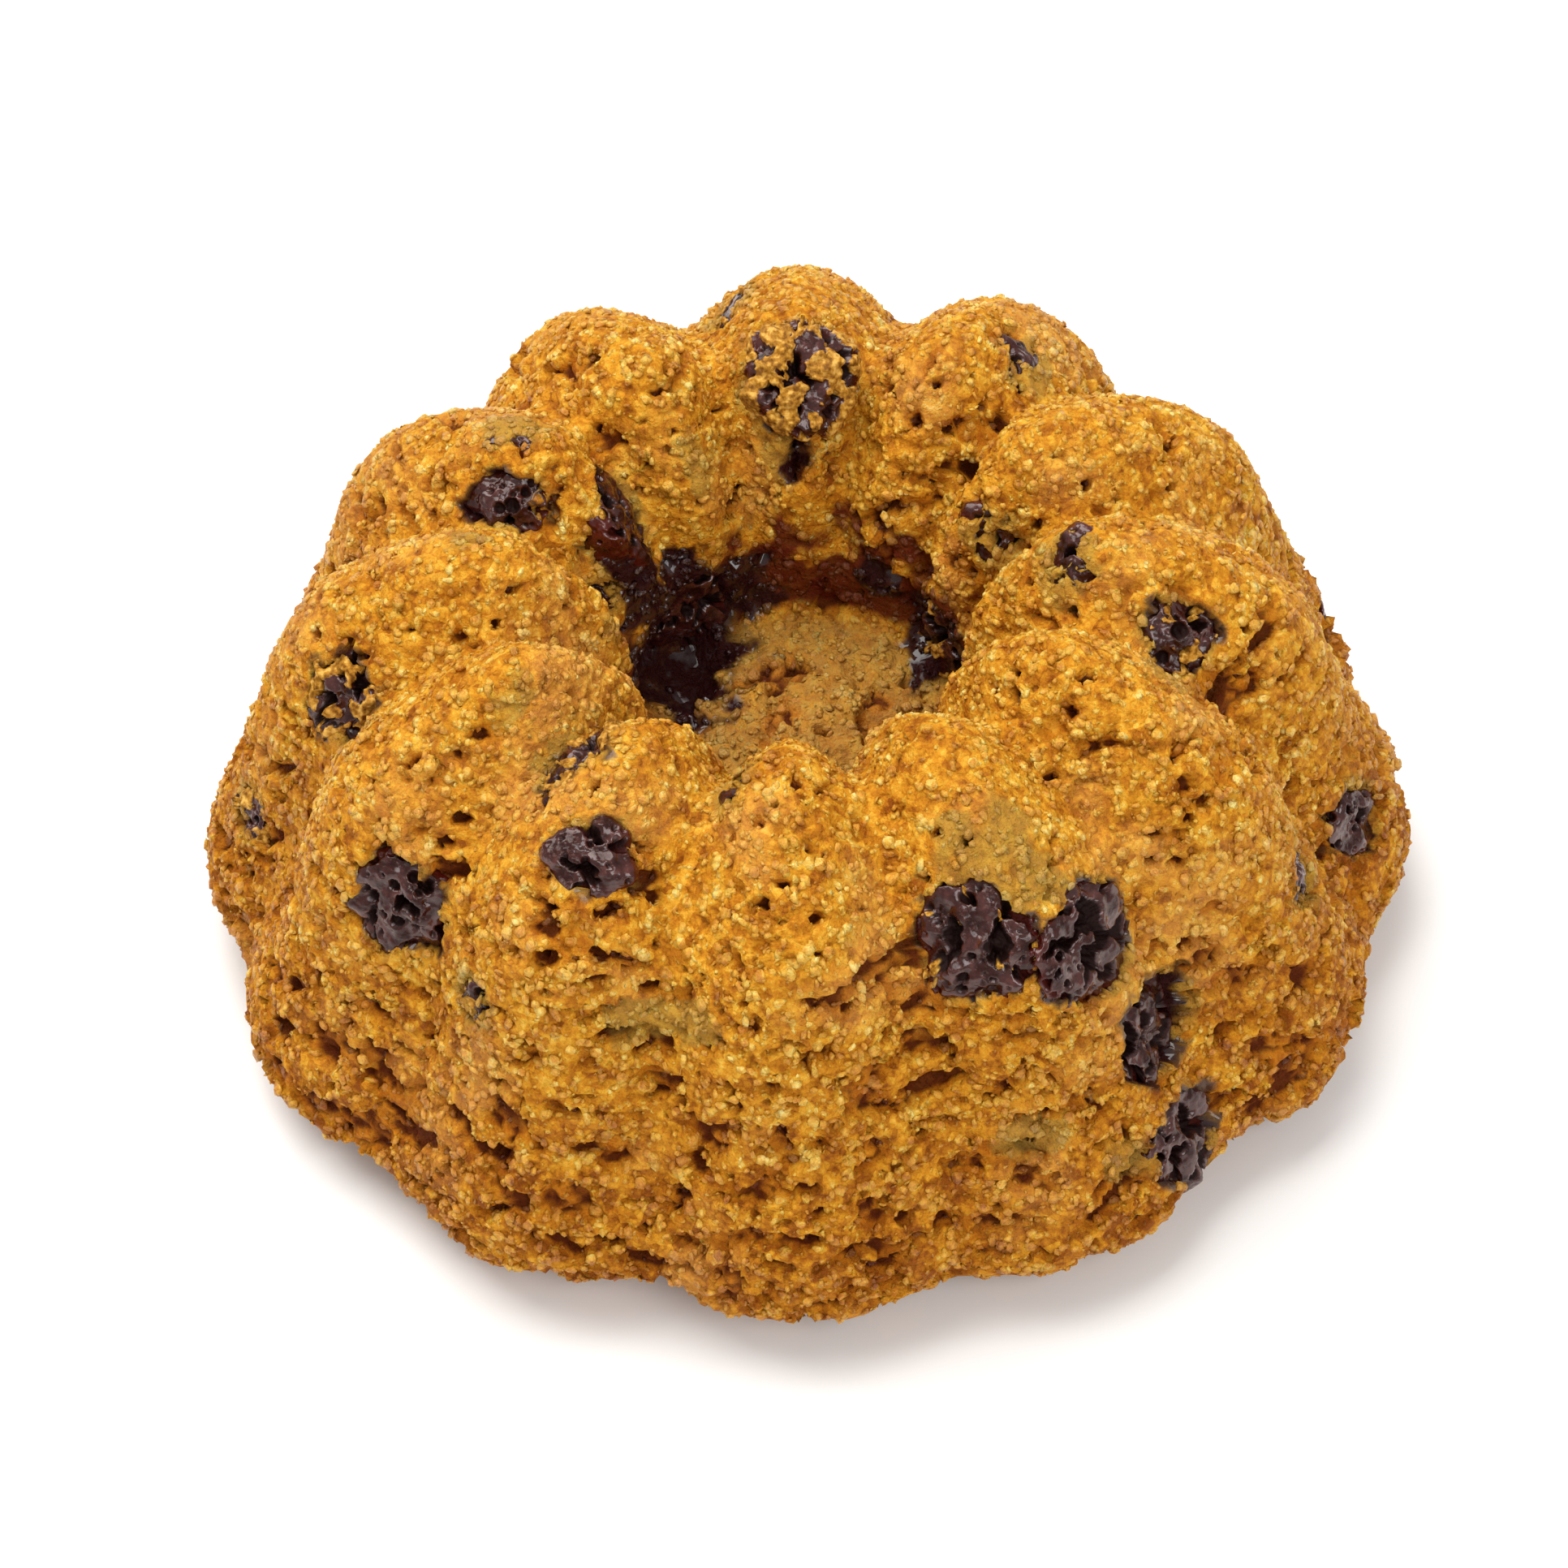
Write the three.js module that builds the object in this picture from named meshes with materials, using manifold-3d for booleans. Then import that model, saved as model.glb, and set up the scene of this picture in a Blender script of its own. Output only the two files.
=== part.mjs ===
// A fluted ring muffin with chocolate chips, in millimetres, +Z up. It was baked in a ring
// tin with a blind middle tube and turned out, so the grooves of the tin run over its top
// and the tube has left a well with a crumb floor. The origin is the middle of the flat
// underside that it rests on, and a lobe's crown lies along +X.
import * as THREE from 'three';
import { mergeVertices } from 'three/addons/utils/BufferGeometryUtils.js';
import Module from 'manifold-3d';

const wasm = await Module();
wasm.setup();

// The ring. Radii and heights are those of a lobe's crown.
const LOBES = 12;
const HEIGHT = 43.7; // from the underside to the top of the crest
const BELLY_RADIUS = 49; // the widest ring, low on the side
const BELLY_HEIGHT = 5.5;
const FOOT_INSET = 8.4; // from the belly in to the edge of the flat underside
const FLANK_INSET = 4.5; // from the belly in to the middle of the side
const FLANK_HEIGHT = 21;
const SHOULDER_INSET = 11; // from the belly in to where the side turns over
const SHOULDER_DROP = 7.3; // from the crest down to the shoulder
const OVAL = 1.03; // the ring is this much longer along X than along Y

// The well that the tin's tube left.
const WELL_RADIUS = 13; // halfway down the well
const WELL_DEPTH = 22.5; // from the crest down to the edge of the floor
const WELL_TAPER = 0.8; // how much narrower it is at the floor, in radius
const LIP_FLARE = 1.6; // how much wider it is where the lip rounds over
const LIP_DROP = 8; // from the crest down to the lip
const CREST_OFFSET = 10; // from the well's wall out to the top of the crest
const FLOOR_RISE = 1.8; // the floor is domed

// How deep the grooves are, square to the surface.
const FOOT_GROOVE = 3.4;
const BELLY_GROOVE = 2.4;
const FLANK_GROOVE = 3.3;
const SHOULDER_GROOVE = 4.2;
const CREST_GROOVE = 4.2;
const LIP_GROOVE = 3;
const WELL_GROOVE = 1.3;
const GROOVE_ROUNDING = 0.2; // 0 makes the bottom of a groove sharp

// The chips: drops with a flat base, which lies just below the surface, and a tip that
// points in.
const CHIP_SLENDERNESS = 0.72; // height over base diameter
const CHIP_SINK = 0.5; // from the surface down to the middle of the base
const CHIP_EDGE = 0.9; // radius of the rounding around the base
const CHIP_CLEARANCE = 0.3; // between a chip and the crumb around it
const POCKET_MOUTH = 6; // how far a chip's pocket is cut outwards, past the surface

// How fine the facets are, and how near two vertices are when they are one.
const MERGE_DISTANCE = 1e-4;
const FACETS_PER_LOBE = 8;
const FACETS_OVER_CREST = 30;
const CHIP_SIDES = 10;
const CHIP_CURVE_FACETS = 3;

const CRUMB = new THREE.MeshStandardMaterial({ color: 0xc8822a, roughness: 0.9, metalness: 0 });
const CHOCOLATE = new THREE.MeshStandardMaterial({ color: 0x321a18, roughness: 0.3, metalness: 0 });

// Where the chips lie: the number of the nearest lobe, counted anticlockwise from the one
// along +X, how far round the ring from its crown, how far over the surface from the edge
// of the underside (0) to the middle of the well's floor (1), and the base diameter.
const CHIPS = [
  [10, -4.7, 0.43, 9],
  [10, 4.2, 0.39, 8],
  [10, 8.5, 0.27, 7.5],
  [10, 8.9, 0.165, 8],
  [7, 7.2, 0.36, 8.5],
  [8, 1.7, 0.5, 6.5],
  [8, -5, 0.575, 7.5],
  [8, -5.1, 0.34, 5],
  [9, -4, 0.61, 4.5],
  [6, 7.4, 0.425, 7],
  [6, 4.8, 0.23, 5],
  [5, 4.7, 0.59, 6],
  [5, -1.3, 0.58, 5],
  [3, 5.3, 0.49, 6],
  [3, -0.7, 0.64, 9],
  [2, -5.2, 0.525, 5.5],
  [0, -1.5, 0.625, 5.5],
  [0, -6.2, 0.505, 6],
  [0, -7.2, 0.215, 6.5],
  [11, 5.4, 0.28, 6],
  [5, -2.3, 0.705, 7],
  [5, 2.9, 0.75, 4.5],
  [4, 2.2, 0.85, 8],
  [1, 0.3, 0.85, 7],
  [1, -2.4, 0.7, 5],
  [1, 7, 0.3, 8],
  [1, 0, 0.155, 6.5],
  [2, 1.6, 0.25, 8],
  [3, -4.9, 0.19, 7.5],
  [4, -1.4, 0.36, 9],
  [5, -8.3, 0.16, 7],
];

// The crown's outline, from the edge of the underside over the crest to the middle of the
// well's floor. A station holds a radius, a height and the depth of the grooves beside it.
const WELL_FLOOR = HEIGHT - WELL_DEPTH;
const STATIONS = [
  new THREE.Vector3(BELLY_RADIUS - FOOT_INSET, 0, FOOT_GROOVE),
  new THREE.Vector3(BELLY_RADIUS, BELLY_HEIGHT, BELLY_GROOVE),
  new THREE.Vector3(BELLY_RADIUS - FLANK_INSET, FLANK_HEIGHT, FLANK_GROOVE),
  new THREE.Vector3(BELLY_RADIUS - SHOULDER_INSET, HEIGHT - SHOULDER_DROP, SHOULDER_GROOVE),
  new THREE.Vector3(WELL_RADIUS + CREST_OFFSET, HEIGHT, CREST_GROOVE),
  new THREE.Vector3(WELL_RADIUS + LIP_FLARE, HEIGHT - LIP_DROP, LIP_GROOVE),
  new THREE.Vector3(WELL_RADIUS, HEIGHT - (LIP_DROP + WELL_DEPTH) / 2, WELL_GROOVE),
  new THREE.Vector3(WELL_RADIUS - WELL_TAPER, WELL_FLOOR, 0),
  new THREE.Vector3(0, WELL_FLOOR + FLOOR_RISE, 0),
];
const CROWN = new THREE.CatmullRomCurve3(STATIONS);

// 0 on a lobe's crown and 1 at the bottom of a groove.
function grooveShare(azimuth) {
  const wave = Math.hypot(Math.cos(azimuth * LOBES / 2), GROOVE_ROUNDING) - GROOVE_ROUNDING;
  return 1 - wave / (Math.hypot(1, GROOVE_ROUNDING) - GROOVE_ROUNDING);
}

// The point of the surface at an azimuth, and at a share of the way over the crown. The
// grooves are cut square to the crown, except that the underside stays flat.
function surfacePoint(azimuth, along) {
  const crown = CROWN.getPointAt(along);
  const run = CROWN.getTangentAt(along);
  const depth = crown.z * grooveShare(azimuth) / Math.hypot(run.x, run.y);
  const lift = Math.min(1, crown.y / BELLY_HEIGHT);
  const radius = crown.x - depth * run.y;
  const height = crown.y + depth * run.x * lift;
  return new THREE.Vector3(
    OVAL * radius * Math.cos(azimuth),
    radius * Math.sin(azimuth),
    height,
  );
}

// The direction out of the surface there, from two points a small step away.
const PROBE_STEP = 0.004;
function surfaceNormal(azimuth, along) {
  const here = surfacePoint(azimuth, along);
  const around = surfacePoint(azimuth + PROBE_STEP, along).sub(here);
  const over = surfacePoint(azimuth, along + PROBE_STEP).sub(here);
  return around.cross(over).normalize();
}

// A closed three.js geometry as a solid that can be cut.
function toSolid(geometry) {
  const bare = geometry.clone();
  bare.deleteAttribute('normal');
  bare.deleteAttribute('uv');
  const merged = mergeVertices(bare, MERGE_DISTANCE);
  return new wasm.Manifold(new wasm.Mesh({
    numProp: 3,
    vertProperties: merged.attributes.position.array,
    triVerts: new Uint32Array(merged.index.array),
  }));
}

function toGeometry(solid) {
  const mesh = solid.getMesh();
  const geometry = new THREE.BufferGeometry();
  geometry.setAttribute('position', new THREE.BufferAttribute(mesh.vertProperties, 3));
  geometry.setIndex(new THREE.BufferAttribute(mesh.triVerts, 1));
  geometry.computeVertexNormals();
  return geometry;
}

// The whole ring: its crown's outline turned about Z, and each vertex then moved onto the
// fluted surface. The first vertex of the outline is the middle of the underside.
function ringGeometry() {
  const outline = [new THREE.Vector2(0, 0)];
  for (let i = 0; i <= FACETS_OVER_CREST; i++) {
    const crown = CROWN.getPointAt(i / FACETS_OVER_CREST);
    outline.push(new THREE.Vector2(crown.x, crown.y));
  }
  const ring = new THREE.LatheGeometry(outline, LOBES * FACETS_PER_LOBE);
  ring.rotateX(Math.PI / 2);
  const position = ring.attributes.position;
  const spot = new THREE.Vector3();
  for (let i = 0; i < position.count; i++) {
    const step = i % outline.length;
    spot.fromBufferAttribute(position, i);
    if (step > 0) spot.copy(surfacePoint(Math.atan2(spot.y, spot.x), (step - 1) / FACETS_OVER_CREST));
    position.setXYZ(i, spot.x, spot.y, spot.z);
  }
  return ring;
}

// A chip, turned from its outline, which runs from the middle of its base round to its tip.
// Y points from the base to the tip. A pocket is the same shape a clearance larger all
// round, with a mouth that runs straight out through the surface. The side bellies out below
// the rim and draws in to the tip.
function chipGeometry(diameter, clearance, mouth) {
  const radius = diameter / 2 + clearance;
  const tip = diameter * CHIP_SLENDERNESS + clearance;
  const outline = new THREE.Path();
  outline.moveTo(0, -mouth);
  if (mouth > 0) {
    outline.lineTo(radius, -mouth);
    outline.lineTo(radius, CHIP_EDGE);
  } else {
    outline.lineTo(radius - CHIP_EDGE, 0);
    outline.quadraticCurveTo(radius, 0, radius, CHIP_EDGE);
  }
  outline.bezierCurveTo(radius, tip / 2, radius / 3, tip / 2, 0, tip);
  return new THREE.LatheGeometry(outline.getPoints(CHIP_CURVE_FACETS), CHIP_SIDES);
}

const muffin = new THREE.Group();
let body = toSolid(ringGeometry());

CHIPS.forEach(([lobe, aside, along, diameter], index) => {
  const azimuth = 2 * Math.PI * lobe / LOBES + aside / CROWN.getPointAt(along).x;
  const inward = surfaceNormal(azimuth, along).negate();
  const chip = new THREE.Mesh(chipGeometry(diameter, 0, 0), CHOCOLATE.clone());
  chip.name = `chocolate_chip_${String(index + 1).padStart(2, '0')}`;
  chip.position.copy(surfacePoint(azimuth, along)).addScaledVector(inward, CHIP_SINK);
  chip.quaternion.setFromUnitVectors(new THREE.Vector3(0, 1, 0), inward);
  chip.updateMatrix();
  muffin.add(chip);

  const pocket = chipGeometry(diameter, CHIP_CLEARANCE, POCKET_MOUTH).applyMatrix4(chip.matrix);
  body = body.subtract(toSolid(pocket));
});

const cake = new THREE.Mesh(toGeometry(body), CRUMB);
cake.name = 'cake_body';
muffin.add(cake);

export default muffin;
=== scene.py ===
# %% [markdown]
# # A fluted ring muffin with chocolate chips
# This lesson finishes a small ring cake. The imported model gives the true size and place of
# every piece: one cake body and the chocolate chips that show in its surface. Here each of
# them is replaced by a piece with the same size and place and a far finer surface. Lengths
# are in metres in Blender, so `MM` turns a baker's millimetres into them.

# %% Load the frame
import math

import bmesh
import bpy
import numpy as np
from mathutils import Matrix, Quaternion, Vector, noise


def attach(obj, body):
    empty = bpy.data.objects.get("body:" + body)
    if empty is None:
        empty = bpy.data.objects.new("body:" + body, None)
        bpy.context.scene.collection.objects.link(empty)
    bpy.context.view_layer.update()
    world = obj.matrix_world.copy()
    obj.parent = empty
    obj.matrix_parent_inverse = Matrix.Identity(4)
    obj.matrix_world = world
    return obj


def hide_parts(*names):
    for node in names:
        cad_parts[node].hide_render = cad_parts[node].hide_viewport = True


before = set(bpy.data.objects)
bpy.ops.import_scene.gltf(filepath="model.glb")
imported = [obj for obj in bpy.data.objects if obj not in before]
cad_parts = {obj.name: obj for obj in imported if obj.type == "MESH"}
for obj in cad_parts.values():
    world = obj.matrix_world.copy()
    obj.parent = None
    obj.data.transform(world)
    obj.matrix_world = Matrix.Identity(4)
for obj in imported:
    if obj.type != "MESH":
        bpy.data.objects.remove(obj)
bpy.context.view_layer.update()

MM = 0.001
CHIP_NODES = sorted(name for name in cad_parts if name.startswith("chocolate_chip"))

# %% [markdown]
# ## The camera
# The muffin is looked down on from the front through a long lens. A long lens keeps the far
# lobes nearly as large as the near ones. The camera is turned a little about its own axis,
# as a camera held by hand is.

# %% The camera
CAMERA_DISTANCE = 515 * MM
CAMERA_HEIGHT_ANGLE = math.radians(49.6)
CAMERA_AZIMUTH = math.radians(-86.3)
CAMERA_ROLL = math.radians(-4.25)
CAMERA_LENS = 143
ORBIT_CENTRE = Vector((0, 0, 20 * MM))
AIM = Vector((-1.45 * MM, -3.11 * MM, 17.43 * MM))

camera_data = bpy.data.cameras.new("camera")
camera_data.lens = CAMERA_LENS
camera_data.sensor_width = 36
camera_data.clip_start = 0.01
camera = bpy.data.objects.new("camera", camera_data)
bpy.context.scene.collection.objects.link(camera)
bpy.context.scene.camera = camera
camera.location = ORBIT_CENTRE + CAMERA_DISTANCE * Vector((
    math.cos(CAMERA_HEIGHT_ANGLE) * math.cos(CAMERA_AZIMUTH),
    math.cos(CAMERA_HEIGHT_ANGLE) * math.sin(CAMERA_AZIMUTH),
    math.sin(CAMERA_HEIGHT_ANGLE),
))
looking = (AIM - camera.location).to_track_quat("-Z", "Y")
camera.rotation_euler = (looking @ Quaternion((0, 0, 1), CAMERA_ROLL)).to_euler()
print("camera at", [round(value / MM) for value in camera.location], "mm")

# %% [markdown]
# ## Shader maths
# A finish is worked out in numbers: a height minus a mask, a mask times a colour's share. In
# the node editor that is one Math node per sign. `Wire` wraps a socket and overloads the
# signs, so a line of Python adds the nodes, and `Net.node` adds any other node.

# %% Wires and nets
class Wire:
    """An output socket that Python's signs work on."""

    def __init__(self, net, socket):
        self.net = net
        self.socket = socket

    def maths(self, operation, first, second):
        return self.net.node("ShaderNodeMath", {0: first, 1: second}, operation=operation)

    def __add__(self, other):
        return self.maths("ADD", self, other)

    def __radd__(self, other):
        return self.maths("ADD", other, self)

    def __sub__(self, other):
        return self.maths("SUBTRACT", self, other)

    def __rsub__(self, other):
        return self.maths("SUBTRACT", other, self)

    def __mul__(self, other):
        return self.maths("MULTIPLY", self, other)

    def __rmul__(self, other):
        return self.maths("MULTIPLY", other, self)


class Net:
    """A node tree and the way its nodes are added."""

    def __init__(self, tree):
        self.tree = tree

    def node(self, kind, values=None, result=0, stops=None, **settings):
        made = self.tree.nodes.new(kind)
        for name, value in settings.items():
            setattr(made, name, value)
        if stops:
            ramp = made.color_ramp
            while len(ramp.elements) < len(stops):
                ramp.elements.new(1)
            for element, (position, colour) in zip(ramp.elements, stops):
                element.position = position
                element.color = (*colour, 1)
        for socket, value in (values or {}).items():
            self.feed(made.inputs[socket], value)
        return Wire(self, made.outputs[result]) if made.outputs else made

    def feed(self, socket, value):
        if isinstance(value, Wire):
            self.tree.links.new(value.socket, socket)
        elif isinstance(value, tuple) and socket.type == "RGBA":
            socket.default_value = (*value, 1)
        else:
            socket.default_value = value


# %% Finishes
class Finish(Net):
    """A material, with its constants on the surface's own sockets.

    It reads Object coordinates, so its patterns stay with the piece.
    """

    def __init__(self, name, **constants):
        self.material = bpy.data.materials.new(name)
        self.material.use_nodes = True
        super().__init__(self.material.node_tree)
        self.surface = self.tree.nodes["Principled BSDF"]
        for socket, value in constants.items():
            self.surface.inputs[socket.replace("_", " ")].default_value = value
        coordinates = self.tree.nodes.new("ShaderNodeTexCoord")
        self.place = Wire(self, coordinates.outputs["Object"])

    def feed_surface(self, name, value):
        self.feed(self.surface.inputs[name], value)

    def grain(self, size, detail=2, roughness=0.5, offset=0):
        """Noise from 0 to 1 with lumps of about `size` millimetres."""
        spot = self.node("ShaderNodeMapping", {"Vector": self.place,
                                               "Scale": (1 / (size * MM),) * 3,
                                               "Location": (offset, offset, offset)})
        return self.node("ShaderNodeTexNoise", {"Vector": spot, "Scale": 1, "Detail": detail,
                                                "Roughness": roughness})

    def cells(self, size, result="Distance"):
        """The distance to the nearest of many scattered points, or its random colour."""
        return self.node("ShaderNodeTexVoronoi", {"Vector": self.place, "Scale": 1 / (size * MM)},
                         result=result)

    def attribute(self, name):
        return self.node("ShaderNodeAttribute", result="Fac", attribute_name=name)

    def between(self, value, low, high, new_low=0, new_high=1):
        """Where a value lies between two others, smoothed and kept from 0 to 1."""
        return self.node("ShaderNodeMapRange", {"Value": value, 1: low, 2: high, 3: new_low,
                                                4: new_high}, interpolation_type="SMOOTHSTEP")

    def mix(self, share, first, second):
        return self.node("ShaderNodeMix", {0: share, 6: first, 7: second}, result=2,
                         data_type="RGBA")

    def bump(self, height, distance, below=None):
        """A bump `distance` millimetres high, on top of the one below it."""
        values = {"Height": height, "Distance": distance * MM, "Strength": 1}
        if below:
            values["Normal"] = below
        return self.node("ShaderNodeBump", values, result="Normal")


# %% [markdown]
# ## The ring
# The cake took its shape from a tin, so its outline is turned about the upright axis, as on
# a lathe: from the middle of the underside out to the foot, up the flank, over the crest and
# down into the well. `spin` does that with a row of vertices. The stations are a lobe's
# crown, with the depth of the groove beside it, and a smooth curve runs through them.

# %% The crown's outline
LOBES = 12
OVAL = 1.03
GROOVE_ROUNDING = 0.2
STATIONS = [  # radius, height, depth of the grooves, in millimetres
    (40.6, 0.0, 3.4),
    (49.0, 5.5, 2.4),
    (44.5, 21.0, 3.3),
    (38.0, 36.4, 4.2),
    (23.0, 43.7, 4.2),
    (14.6, 35.7, 3.0),
    (13.0, 28.5, 1.3),
    (12.2, 21.2, 0.0),
    (0.0, 23.0, 0.0),
]
FOOT_HEIGHT = 5.5
POINTS_A_STRETCH = 60  # worked out between two stations, before they are spaced evenly
CROWN_POINTS = 150


def smooth_run(stations, samples):
    """Points evenly spaced along a centripetal Catmull-Rom curve through the stations."""
    points = np.array(stations, float)
    points = np.vstack([2 * points[0] - points[1], points, 2 * points[-1] - points[-2]])
    run = []
    for a, b, c, d in zip(points, points[1:], points[2:], points[3:]):
        chords = [np.linalg.norm(q - p) for p, q in ((a, b), (b, c), (c, d))]
        knots = np.cumsum([0] + [chord ** 0.5 for chord in chords])
        for t in np.linspace(knots[1], knots[2], POINTS_A_STRETCH, endpoint=False):
            ab = (a * (knots[1] - t) + b * (t - knots[0])) / (knots[1] - knots[0])
            bc = (b * (knots[2] - t) + c * (t - knots[1])) / (knots[2] - knots[1])
            cd = (c * (knots[3] - t) + d * (t - knots[2])) / (knots[3] - knots[2])
            abc = (ab * (knots[2] - t) + bc * (t - knots[0])) / (knots[2] - knots[0])
            bcd = (bc * (knots[3] - t) + cd * (t - knots[1])) / (knots[3] - knots[1])
            run.append((abc * (knots[2] - t) + bcd * (t - knots[1])) / (knots[2] - knots[1]))
    run = np.array(run + [stations[-1]])
    length = np.concatenate([[0], np.cumsum(np.linalg.norm(np.diff(run, axis=0), axis=1))])
    even = np.linspace(0, length[-1], samples)
    return np.stack([np.interp(even, length, run[:, i]) for i in range(3)], axis=1)


crown = smooth_run(STATIONS, CROWN_POINTS)
crown_slope = np.gradient(crown[:, :2], axis=0)
crown_slope /= np.linalg.norm(crown_slope, axis=1)[:, None]
print("crown outline:", len(crown), "points, highest", round(crown[:, 1].max(), 2), "mm")

# %% [markdown]
# The tin's twelve flutes cut grooves into that outline. Each vertex of the turned ring is
# moved square to the crown by the depth of the groove at its azimuth. The underside stays
# flat, because it was the open side of the tin.

# %% The fluted surface
def groove_share(azimuth):
    """0 on a lobe's crown and 1 at the bottom of a groove."""
    wave = np.hypot(np.cos(azimuth * LOBES / 2), GROOVE_ROUNDING) - GROOVE_ROUNDING
    return 1 - wave / (math.hypot(1, GROOVE_ROUNDING) - GROOVE_ROUNDING)


def fluted(azimuth, step):
    """Points of the fluted surface, in millimetres, at azimuths and steps of the crown."""
    depth = crown[step, 2] * groove_share(azimuth)
    lift = np.minimum(1, crown[step, 1] / FOOT_HEIGHT)
    radius = crown[step, 0] - depth * crown_slope[step, 1]
    height = crown[step, 1] + depth * crown_slope[step, 0] * lift
    return np.stack([OVAL * radius * np.cos(azimuth), radius * np.sin(azimuth), height], axis=1)


def coordinates(mesh):
    flat = np.empty(len(mesh.vertices) * 3)
    mesh.vertices.foreach_get("co", flat)
    return flat.reshape(-1, 3)


SPIN_STEPS = 360
TOUCHING = 0.01  # millimetres; two points nearer than this are one
shell = bmesh.new()
outline = [shell.verts.new((0, 0, 0))]
outline += [shell.verts.new((radius * MM, 0, height * MM)) for radius, height, _ in crown]
edges = [shell.edges.new(pair) for pair in zip(outline, outline[1:])]
bmesh.ops.spin(shell, geom=outline + edges, cent=(0, 0, 0), axis=(0, 0, 1), dvec=(0, 0, 0),
               angle=2 * math.pi, steps=SPIN_STEPS, use_merge=True, use_duplicate=False)
bmesh.ops.remove_doubles(shell, verts=shell.verts, dist=TOUCHING * MM)
bmesh.ops.recalc_face_normals(shell, faces=shell.faces)
cake_mesh = bpy.data.meshes.new("cake_crumb")
shell.to_mesh(cake_mesh)
shell.free()

places = coordinates(cake_mesh) / MM
radius = np.hypot(places[:, 0], places[:, 1])
step = ((radius[:, None] - crown[:, 0]) ** 2 + (places[:, 2:] - crown[:, 1]) ** 2).argmin(1)
azimuth = np.arctan2(places[:, 1], places[:, 0])
on_underside = (places[:, 2] < TOUCHING) & (radius < STATIONS[0][0] - TOUCHING)
on_crown = ~on_underside & (radius > TOUCHING)
places[on_crown] = fluted(azimuth, step)[on_crown]
cake_mesh.vertices.foreach_set("co", (places * MM).ravel())
cake = bpy.data.objects.new("cake_crumb", cake_mesh)
bpy.context.scene.collection.objects.link(cake)
print("turned ring:", len(cake_mesh.vertices), "vertices")

# %% [markdown]
# ## Where the chips sit
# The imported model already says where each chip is: its largest flat face is its base, which
# looks out of the cake. So the seat of a chip, and which way is out, are read from there,
# and no list of places has to be kept in two files.

# %% The seats
CHIP_SINK = 0.5  # the bases lie this far below the surface, in millimetres


class Seat:
    """Where a chip sits: the middle of its base, the way out, its radius and a number."""

    def __init__(self, number, node):
        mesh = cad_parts[node].data
        areas = {}
        for face in mesh.polygons:
            facing = tuple(round(part, 2) for part in face.normal)
            areas.setdefault(facing, []).append(face)
        base = max(areas.values(), key=lambda faces: sum(face.area for face in faces))
        area = sum(face.area for face in base)
        self.number = number
        self.node = node
        self.out = base[0].normal.normalized()
        self.middle = sum((face.center * face.area for face in base), Vector()) / area
        corners = [vertex.co - self.middle for vertex in mesh.vertices]
        flat = [corner - self.out * corner.dot(self.out) for corner in corners]
        self.radius = max(corner.length for corner in flat) / MM
        self.middle += self.out * CHIP_SINK * MM
        self.side = self.out.cross(Vector((0, 0, 1)))
        if self.side.length < 0.1:  # a chip that looks straight up
            self.side = self.out.cross(Vector((0, 1, 0)))
        self.side.normalize()
        self.up = self.side.cross(self.out).normalized() * -1

    def local(self, places):
        """Places in millimetres as (across, up, out) from the seat."""
        away = places - np.array(self.middle) / MM
        axes = np.array([self.side, self.up, self.out])
        return away @ axes.T


seats = [Seat(number, node) for number, node in enumerate(CHIP_NODES, start=1)]
print("chip radii in mm:", [round(seat.radius, 1) for seat in seats])

# %% [markdown]
# ## An even mesh
# The turned ring has long thin faces near the axis and wide ones at the belly. Pores and
# torn crumb need faces of one size everywhere, so a voxel remesh lays an even net over it.

# %% Remesh the ring
VOXEL = 0.4 * MM


def apply_modifiers(thing):
    """Gives a thing the mesh that its modifiers make, and removes them."""
    graph = bpy.context.evaluated_depsgraph_get()
    made = bpy.data.meshes.new_from_object(thing.evaluated_get(graph))
    thing.modifiers.clear()
    thing.data = made


remesh = cake.modifiers.new("even net", "REMESH")
remesh.mode = "VOXEL"
remesh.voxel_size = VOXEL
apply_modifiers(cake)
print("even net:", len(cake.data.vertices), "vertices")

# %% [markdown]
# ## Crumb
# Crumb is a foam that tore as the cake left the tin. Five things make its surface: broad
# lumps, shallow torn patches with ragged edges, thin flakes, pores and dents that bubbles
# left, and a fine grain. Each is a field of noise in space. The fields move the vertices along
# their normals, and how deep they go is kept in an attribute, so that the finish can paint
# shade into what lies deep. All lengths in these fields are in millimetres.

# %% Fields of noise
def lumps(places, size, octaves=1, shift=0.0):
    """Noise about 0 with lumps of `size` millimetres, rougher with more octaves."""
    spots = (places / size + shift).tolist()
    if octaves == 1:
        return np.array([noise.noise(spot) for spot in spots])
    return np.array([noise.fractal(spot, 1.0, 2.0, octaves) for spot in spots])


def pores(places, spacing, share, smallest, largest):
    """How deep round pores are, in millimetres. Only a share of the cells holds one."""
    depths = []
    for spot in (places / spacing).tolist():
        distances, points = noise.voronoi(spot)
        chance = noise.cell(points[0] * 7.3) * 0.5 + 0.5
        pore = 0.0
        if chance < share:
            size = smallest + (largest - smallest) * chance / share
            pore = max(0.0, size * size - (distances[0] * spacing) ** 2) ** 0.5
        depths.append(pore)
    return np.array(depths)


def between(value, low, high):
    """0 below `low`, 1 above `high` and smooth in the middle."""
    share = np.clip((value - low) / (high - low), 0, 1)
    return share * share * (3 - 2 * share)


def store(mesh, name, values):
    """Keeps one number for each vertex, for the finish to read."""
    layer = mesh.attributes.new(name, "FLOAT", "POINT")
    layer.data.foreach_set("value", np.asarray(values, np.float32))
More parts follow.
